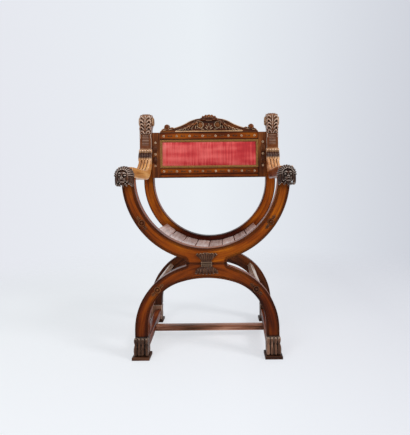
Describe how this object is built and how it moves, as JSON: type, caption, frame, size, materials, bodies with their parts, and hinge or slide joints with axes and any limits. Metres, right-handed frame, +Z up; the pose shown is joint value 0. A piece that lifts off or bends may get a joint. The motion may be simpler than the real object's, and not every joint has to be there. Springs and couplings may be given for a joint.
{
  "type": "savonarola chair",
  "caption": "Carved walnut savonarola armchair: X-shaped frames of an upper arc on a lower arch, slatted curved seat, scrolled arms and a velvet back panel.",
  "frame": {"origin": "on the floor, under the middle of the chair's overall box", "axes": "+Z up, the chair faces -Y, +X to the right of someone who looks at its front"},
  "size_m": [0.684, 0.549, 1.01],
  "materials": {
    "walnut": "stained and polished walnut, darker and worn on the carving",
    "velvet": "red ribbed velvet over a stuffed pad",
    "braid": "dull gold gimp braid",
    "steel": "aged steel wood screws"
  },
  "bodies": {
    "root": {"arch_rail_left": "walnut", "arch_rail_right": "walnut", "arm_head_left": "walnut", "arm_head_right": "walnut", "arm_left": "walnut", "arm_right": "walnut", "back_board": "walnut", "back_bottom_rail": "walnut", "back_stile_left": "walnut", "back_stile_right": "walnut", "back_top_rail": "walnut", "crest_board": "walnut", "cross_stretcher": "walnut", "frame_rosettes": "walnut", "front_foot_left": "walnut", "front_foot_right": "walnut", "front_lower_arch": "walnut", "front_plinth_left": "walnut", "front_plinth_right": "walnut", "front_upper_arc": "walnut", "gimp_braid": "braid", "hub_carving": "walnut", "post_screws": "steel", "rail_rosettes": "walnut", "rear_foot_left": "walnut", "rear_foot_right": "walnut", "rear_lower_arch": "walnut", "rear_plinth_left": "walnut", "rear_plinth_right": "walnut", "rear_upper_arc": "walnut", "seat_slat_1": "walnut", "seat_slat_2": "walnut", "seat_slat_3": "walnut", "seat_slat_4": "walnut", "seat_slat_5": "walnut", "seat_slat_6": "walnut", "seat_slat_7": "walnut", "seat_slat_8": "walnut", "side_stretcher_left": "walnut", "side_stretcher_right": "walnut", "velvet_pad": "velvet", "volute_bosses": "walnut"}
  },
  "joints": []
}
